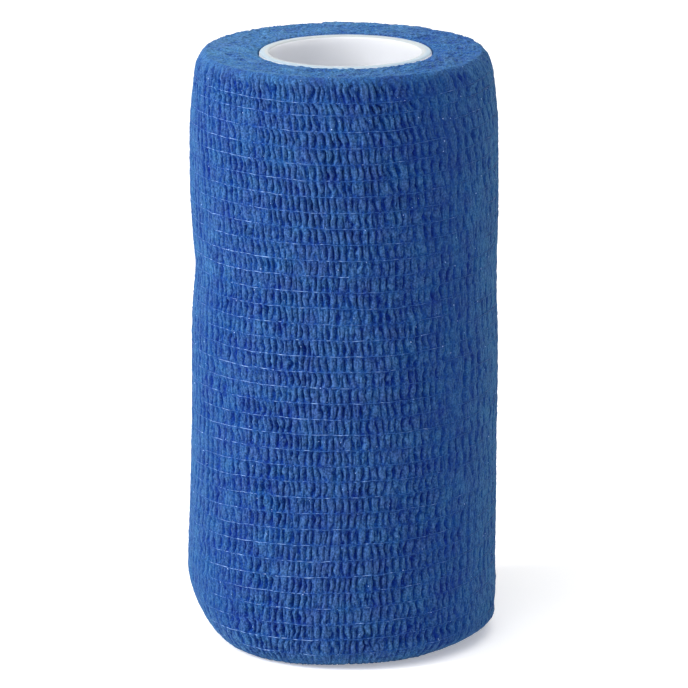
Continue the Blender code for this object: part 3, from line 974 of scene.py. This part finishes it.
nonwoven, tree, shader = new_material("spunlaid_nonwoven_with_latex")
place = add_node(tree, "ShaderNodeTexCoord").outputs["Object"]
depth = add_node(tree, "ShaderNodeAttribute", attribute_name="hollow").outputs["Fac"]
loose = add_node(tree, "ShaderNodeAttribute", attribute_name="loose").outputs["Fac"]
stretched = add_node(tree, "ShaderNodeVectorMath", {0: place, 1: FIBRE_SQUASH}, operation='MULTIPLY')
fibres = add_node(tree, "ShaderNodeTexNoise", {
    "Vector": stretched.outputs[0], "Scale": 1 / FIBRE_SIZE, "Detail": 2.0, "Roughness": 0.7})
grain = add_node(tree, "ShaderNodeTexNoise", {"Vector": place, "Scale": 1 / GRAIN_SIZE, "Detail": 1.0})
fibre_shift = add_node(tree, "ShaderNodeMapRange", {
    "Value": fibres.outputs["Fac"], "From Min": 0.36, "From Max": 0.64,
    "To Min": -FIBRE_SHIFT, "To Max": FIBRE_SHIFT})
grain_shift = add_node(tree, "ShaderNodeMapRange", {
    "Value": grain.outputs["Fac"], "From Min": 0.33, "From Max": 0.67,
    "To Min": -GRAIN_SHIFT, "To Max": GRAIN_SHIFT})
both_shifts = add_node(tree, "ShaderNodeMath", {
    0: fibre_shift.outputs[0], 1: grain_shift.outputs[0]}, operation='ADD')
shift_here = add_node(tree, "ShaderNodeMath", {0: both_shifts.outputs[0], 1: loose}, operation='MULTIPLY')
uneven_depth = add_node(tree, "ShaderNodeMath", {
    0: depth, 1: shift_here.outputs[0]}, operation='ADD', use_clamp=True)
# Painted shade: the colour runs from the ridges' blue into darker, more saturated blues in the hollows.
low_part = add_node(tree, "ShaderNodeMapRange", {
    "Value": uneven_depth.outputs[0], "From Min": 0.05, "From Max": 0.55})
high_part = add_node(tree, "ShaderNodeMapRange", {
    "Value": uneven_depth.outputs[0], "From Min": 0.45, "From Max": 1.0})
deep = add_node(tree, "ShaderNodeMix", {
    0: low_part.outputs[0], 6: linear(HOLLOW_PAINTED_SHADE_BLUE), 7: linear(FLANK_PAINTED_SHADE_BLUE)}, data_type='RGBA')
blue = add_node(tree, "ShaderNodeMix", {
    0: high_part.outputs[0], 6: deep.outputs[2], 7: linear(RIDGE_BLUE)}, data_type='RGBA')
cut = add_node(tree, "ShaderNodeAttribute", attribute_name="cut_edge").outputs["Fac"]
frayed_share = add_node(tree, "ShaderNodeMath", {0: cut, 1: 0.5}, operation='MULTIPLY')
frayed = add_node(tree, "ShaderNodeMix", {
    0: frayed_share.outputs[0], 6: blue.outputs[2], 7: linear(CUT_BLUE)}, data_type='RGBA')
print("depth of colour takes", len(tree.nodes), "nodes")

# %% How the nonwoven's colour varies
MOTTLE_SIZE = 3.5 * MM
MOTTLE_CONTRAST, GRAIN_CONTRAST = 0.08, 0.32
HUE_CONTRAST = 0.008

mottle = add_node(tree, "ShaderNodeTexNoise", {"Vector": place, "Scale": 1 / MOTTLE_SIZE, "Detail": 2.0})
mottle_value = add_node(tree, "ShaderNodeMapRange", {
    "Value": mottle.outputs["Fac"], "From Min": 0.3, "From Max": 0.7,
    "To Min": 1 - MOTTLE_CONTRAST, "To Max": 1 + MOTTLE_CONTRAST})
grain_value = add_node(tree, "ShaderNodeMapRange", {
    "Value": grain.outputs["Fac"], "From Min": 0.33, "From Max": 0.67,
    "To Min": -GRAIN_CONTRAST, "To Max": GRAIN_CONTRAST})
grain_here = add_node(tree, "ShaderNodeMath", {
    0: grain_value.outputs[0], 1: loose, 2: 1.0}, operation='MULTIPLY_ADD')
value_shift = add_node(tree, "ShaderNodeMath", {
    0: mottle_value.outputs[0], 1: grain_here.outputs[0]}, operation='MULTIPLY')
hue_shift = add_node(tree, "ShaderNodeMapRange", {
    "Value": mottle.outputs["Fac"], "From Min": 0.3, "From Max": 0.7,
    "To Min": 0.5 + HUE_CONTRAST, "To Max": 0.5 - HUE_CONTRAST})
varied = add_node(tree, "ShaderNodeHueSaturation", {
    "Hue": hue_shift.outputs[0], "Value": value_shift.outputs[0], "Color": frayed.outputs[2]})
tree.links.new(varied.outputs[0], shader.inputs["Base Color"])
print("colour takes", len(tree.nodes), "nodes")

# %% The nonwoven's surface
GRAIN_BUMP, FIBRE_BUMP = 0.12 * MM, 0.2 * MM

grain_bump = add_node(tree, "ShaderNodeBump", {
    "Height": grain.outputs["Fac"], "Distance": GRAIN_BUMP, "Strength": 1.0})
fibre_bump = add_node(tree, "ShaderNodeBump", {
    "Height": fibres.outputs["Fac"], "Distance": FIBRE_BUMP, "Strength": 1.0,
    "Normal": grain_bump.outputs[0]})
tree.links.new(fibre_bump.outputs[0], shader.inputs["Normal"])
shader.inputs["Roughness"].default_value = 0.88
shader.inputs["Diffuse Roughness"].default_value = 0.6
shader.inputs["Specular IOR Level"].default_value = 0.03
shader.inputs["Sheen Weight"].default_value = 0.26
shader.inputs["Sheen Roughness"].default_value = 0.5
shader.inputs["Sheen Tint"].default_value = linear("#94DADC")
print(nonwoven.name, len(tree.nodes), "nodes")

# %% [markdown]
# ## Elastic yarn
#
# The threads are elastane wound with fine polyester, and stay pale where the cloth's blue dye and
# coating don't reach. They are smoother than the cloth and catch a little light. The eye sees a
# broken pale line, so a value on the mesh and a noise decide together where it shows. That value is
# partly the yarn's own bareness and partly painted light, palest left of the front, towards the key.

# %% Yarn
YARN_PALE = "#A4C8FF"
YARN_BLUE = "#28549A"
WEAR_SIZE = 1.2 * MM

yarn, tree, shader = new_material("covered_elastane_yarn")
place = add_node(tree, "ShaderNodeTexCoord").outputs["Object"]
bare_and_lit = add_node(tree, "ShaderNodeAttribute", attribute_name="bare_and_lit").outputs["Fac"]
worn = add_node(tree, "ShaderNodeTexNoise", {"Vector": place, "Scale": 1 / WEAR_SIZE, "Detail": 2.0})
uncovered = add_node(tree, "ShaderNodeMath", {0: bare_and_lit, 1: worn.outputs["Fac"]}, operation='MULTIPLY')
paleness = add_node(tree, "ShaderNodeMapRange", {
    "Value": uncovered.outputs[0], "From Min": 0.22, "From Max": 0.6})
colour = add_node(tree, "ShaderNodeMix", {
    0: paleness.outputs[0], 6: linear(YARN_BLUE), 7: linear(YARN_PALE)}, data_type='RGBA')
tree.links.new(colour.outputs[2], shader.inputs["Base Color"])
shader.inputs["Roughness"].default_value = 0.45
shader.inputs["Specular IOR Level"].default_value = 0.4
shader.inputs["Specular Tint"].default_value = linear("#9CCBFF")
print(yarn.name, len(tree.nodes), "nodes")

# %% [markdown]
# ## Dried latex
#
# A crumb is natural latex that has dried and rubbed off. It is paler than the cloth, with a faint
# satin shine, and some crumbs have taken more dye than others. The eye sees small pale specks.

# %% Latex
LATEX_PALE = "#BCD4FF"
LATEX_BLUE = "#7FA6F0"
DYE_SIZE = 4 * MM            # larger than a crumb, so that each has about one colour

crumb_latex, tree, shader = new_material("dried_latex")
place = add_node(tree, "ShaderNodeTexCoord").outputs["Object"]
dyed = add_node(tree, "ShaderNodeTexNoise", {"Vector": place, "Scale": 1 / DYE_SIZE})
colour = add_node(tree, "ShaderNodeMix", {
    0: dyed.outputs["Fac"], 6: linear(LATEX_BLUE), 7: linear(LATEX_PALE)}, data_type='RGBA')
tree.links.new(colour.outputs[2], shader.inputs["Base Color"])
shader.inputs["Roughness"].default_value = 0.5
print(crumb_latex.name, len(tree.nodes), "nodes")

# %% [markdown]
# ## White plastic
#
# The tube is moulded polypropylene, with its typical IOR of 1.49. It is white through and through,
# satin rather than glossy, and lets a little light in, which softens its rims. Its rims are painted
# darker than its walls: a painted blue-grey reflection of the cloth, and painted shade on their inner
# half. Height finds the rims, and the distance from the axis finds their inner half.

# %% Plastic
PLASTIC_WHITE = "#F4F7FF"
PLASTIC_SHADE = "#EEF1FC"
# Painted reflection and shade on the rims: a blue-grey reflection of the cloth, and a greyer painted shade on
# the inner half.
RIM_PAINTED_REFLECTION = "#A5BBCA"
RIM_PAINTED_SHADE = "#B6BDC0"
CLOUD_SIZE = 6 * MM
PORE_SIZE = 0.4 * MM
RIM_FROM, RIM_FULL = 0.5 * MM, 0.35 * MM             # below the roll's end
INNER_SHADE_FROM, INNER_SHADE_FULL = 13.6 * MM, 13.2 * MM        # from the tube's axis

plastic, tree, shader = new_material("moulded_white_polypropylene")
place = add_node(tree, "ShaderNodeTexCoord").outputs["Object"]
cloudy = add_node(tree, "ShaderNodeTexNoise", {"Vector": place, "Scale": 1 / CLOUD_SIZE, "Detail": 3.0})
wall_colour = add_node(tree, "ShaderNodeMix", {
    0: cloudy.outputs["Fac"], 6: linear(PLASTIC_SHADE), 7: linear(PLASTIC_WHITE)}, data_type='RGBA')
height_here = add_node(tree, "ShaderNodeSeparateXYZ", {0: place}).outputs["Z"]
from_middle = add_node(tree, "ShaderNodeMath", {0: height_here, 1: ROLL_HEIGHT / 2}, operation='SUBTRACT')
to_an_end = add_node(tree, "ShaderNodeMath", {0: from_middle.outputs[0]}, operation='ABSOLUTE')
on_rim = add_node(tree, "ShaderNodeMapRange", {
    "Value": to_an_end.outputs[0],
    "From Min": ROLL_HEIGHT / 2 - RIM_FROM, "From Max": ROLL_HEIGHT / 2 - RIM_FULL})
from_axis = add_node(tree, "ShaderNodeVectorMath", {0: place, 1: (*tube_axis, 0.0)}, operation='SUBTRACT')
level_place = add_node(tree, "ShaderNodeVectorMath", {
    0: from_axis.outputs[0], 1: (1.0, 1.0, 0.0)}, operation='MULTIPLY')
distance = add_node(tree, "ShaderNodeVectorMath", {
    0: level_place.outputs[0]}, operation='LENGTH').outputs["Value"]
inner_half = add_node(tree, "ShaderNodeMapRange", {
    "Value": distance, "From Min": INNER_SHADE_FROM, "From Max": INNER_SHADE_FULL})
# Painted reflection of the cloth on the rims, with painted shade on their inner half.
painted_rim_colour = add_node(tree, "ShaderNodeMix", {
    0: inner_half.outputs[0], 6: linear(RIM_PAINTED_REFLECTION), 7: linear(RIM_PAINTED_SHADE)}, data_type='RGBA')
walls_and_painted_rims = add_node(tree, "ShaderNodeMix", {
    0: on_rim.outputs[0], 6: wall_colour.outputs[2], 7: painted_rim_colour.outputs[2]}, data_type='RGBA')
tree.links.new(walls_and_painted_rims.outputs[2], shader.inputs["Base Color"])
pores = add_node(tree, "ShaderNodeTexNoise", {"Vector": place, "Scale": 1 / PORE_SIZE, "Detail": 2.0})
pore_bump = add_node(tree, "ShaderNodeBump", {
    "Height": pores.outputs["Fac"], "Distance": 0.01 * MM, "Strength": 0.5})
tree.links.new(pore_bump.outputs[0], shader.inputs["Normal"])
shader.inputs["Roughness"].default_value = 0.42
shader.inputs["IOR"].default_value = 1.49
shader.inputs["Subsurface Weight"].default_value = 0.8
shader.inputs["Subsurface Scale"].default_value = 5.0 * MM
shader.inputs["Subsurface Radius"].default_value = (1.0, 1.0, 1.0)
print(plastic.name, len(tree.nodes), "nodes")

# %% [markdown]
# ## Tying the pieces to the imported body
#
# Nothing on a roll moves, so every piece rides on the one body. The cloth stands for the packed
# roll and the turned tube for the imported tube. Threads and crumbs belong to the cloth's finish.

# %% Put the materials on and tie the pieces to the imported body
for piece in cloth_pieces:
    piece.data.materials.append(nonwoven)
    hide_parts("bandage_roll")
threads.data.materials.append(yarn)
crumb_mesh.materials.append(crumb_latex)
core.data.materials.append(plastic)
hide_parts("core_tube")
all_pieces = [*cloth_pieces, threads, crumbs, core]
for piece in all_pieces:
    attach(piece, "root")
print(len(all_pieces), "pieces,", sum(triangles_of(piece) for piece in all_pieces), "triangles")

# %% [markdown]
# ## Floor and light
#
# A pale sweep of white card, flat under the roll and curved up behind it, gives a background
# without a horizon. The card glows slightly, which keeps it white in the picture. One small key
# light stands on the left, a little above the roll. The tube has a weaker key of its own in the
# same place, because plastic this white would burn out: light linking says which piece each one
# lights. A weak light marks the right edge from behind, a wide one overhead fills the shadows, and
# the last one washes the sweep.

# %% The sweep
SWEEP_WIDTH = 6.0
SWEEP_BEND = 1.0
SWEEP_BACK = 2.5
SWEEP_FRONT = -3.0
SWEEP_HEIGHT = 3.0
BEND_POINTS = 24

bend = np.linspace(0.0, math.pi / 2, BEND_POINTS)
sweep_line = [(SWEEP_FRONT, 0.0)]
sweep_line += [(SWEEP_BACK + SWEEP_BEND * math.sin(a), SWEEP_BEND * (1 - math.cos(a))) for a in bend]
sweep_line += [(SWEEP_BACK + SWEEP_BEND, SWEEP_HEIGHT)]
sweep_points = [(side * SWEEP_WIDTH / 2, y, z) for y, z in sweep_line for side in (-1, 1)]
sweep_faces = [(2 * i, 2 * i + 1, 2 * i + 3, 2 * i + 2) for i in range(len(sweep_line) - 1)]
sweep_mesh = bpy.data.meshes.new("pale_sweep")
sweep_mesh.from_pydata(sweep_points, [], sweep_faces)
sweep_mesh.shade_smooth()
sweep = bpy.data.objects.new("pale_sweep", sweep_mesh)
bpy.context.scene.collection.objects.link(sweep)
print(sweep.name, triangles_of(sweep), "triangles")

# %% Card
CARD_TOOTH = 2.5 * MM
CARD_GLOW = 0.35

card, tree, shader = new_material("matte_white_card")
place = add_node(tree, "ShaderNodeTexCoord").outputs["Object"]
tooth = add_node(tree, "ShaderNodeTexNoise", {"Vector": place, "Scale": 1 / CARD_TOOTH})
shade = add_node(tree, "ShaderNodeMapRange", {"Value": tooth.outputs["Fac"], "To Min": 0.88, "To Max": 0.9})
tree.links.new(shade.outputs[0], shader.inputs["Base Color"])
shader.inputs["Roughness"].default_value = 0.95
shader.inputs["Emission Color"].default_value = linear("#FFFFFF")
shader.inputs["Emission Strength"].default_value = CARD_GLOW
sweep_mesh.materials.append(card)
print(card.name, len(tree.nodes), "nodes")


# %% Lights
def soft_light(name, location, aim_at, size, power, colour):
    """A square soft light that faces a point."""
    light_data = bpy.data.lights.new(name, 'AREA')
    light_data.size = size
    light_data.energy = power
    light_data.color = linear(colour)[:3]
    light = bpy.data.objects.new(name, light_data)
    light.visible_camera = False
    light.location = location
    light.rotation_euler = (Vector(aim_at) - Vector(location)).to_track_quat('-Z', 'Y').to_euler()
    bpy.context.scene.collection.objects.link(light)
    return light


MIDDLE = (0.0, 0.0, 50 * MM)
KEY_PLACE = (-0.353, -0.154, 0.27)
KEY_SIZE = 0.19
KEY_POWER, TUBE_KEY_POWER = 2.36, 1.4
ROOM_LIGHT = 0.1

key = soft_light("key", KEY_PLACE, MIDDLE, KEY_SIZE, KEY_POWER, "#FFFFFF")
tube_key = soft_light("tube_key", KEY_PLACE, MIDDLE, KEY_SIZE, TUBE_KEY_POWER, "#FFFFFF")
tube_only = bpy.data.collections.new("lit_by_tube_key")
tube_only.objects.link(core)
tube_key.light_linking.receiver_collection = tube_only
all_but_tube = bpy.data.collections.new("lit_by_key")
all_but_tube.objects.link(core)
all_but_tube.collection_objects[0].light_linking.link_state = 'EXCLUDE'
key.light_linking.receiver_collection = all_but_tube
soft_light("right_edge", (0.9, 0.45, 0.4), MIDDLE, 0.4, 0.8, "#FFF8EE")
soft_light("overhead", (0.0, -0.9, 2.0), (0.0, 0.0, 0.0), 2.2, 46.5, "#FFFFFF")
soft_light("sweep_wash", (0.0, 1.6, 2.4), (0.0, 3.5, 1.0), 2.0, 38.0, "#FFFFFF")
world = bpy.data.worlds.new("pale_room")
world.use_nodes = True
world.node_tree.nodes["Background"].inputs["Color"].default_value = linear("#FFFFFF")
world.node_tree.nodes["Background"].inputs["Strength"].default_value = ROOM_LIGHT
bpy.context.scene.world = world
bpy.context.scene.view_settings.view_transform = 'Standard'
print(len(bpy.data.lights), "lights")
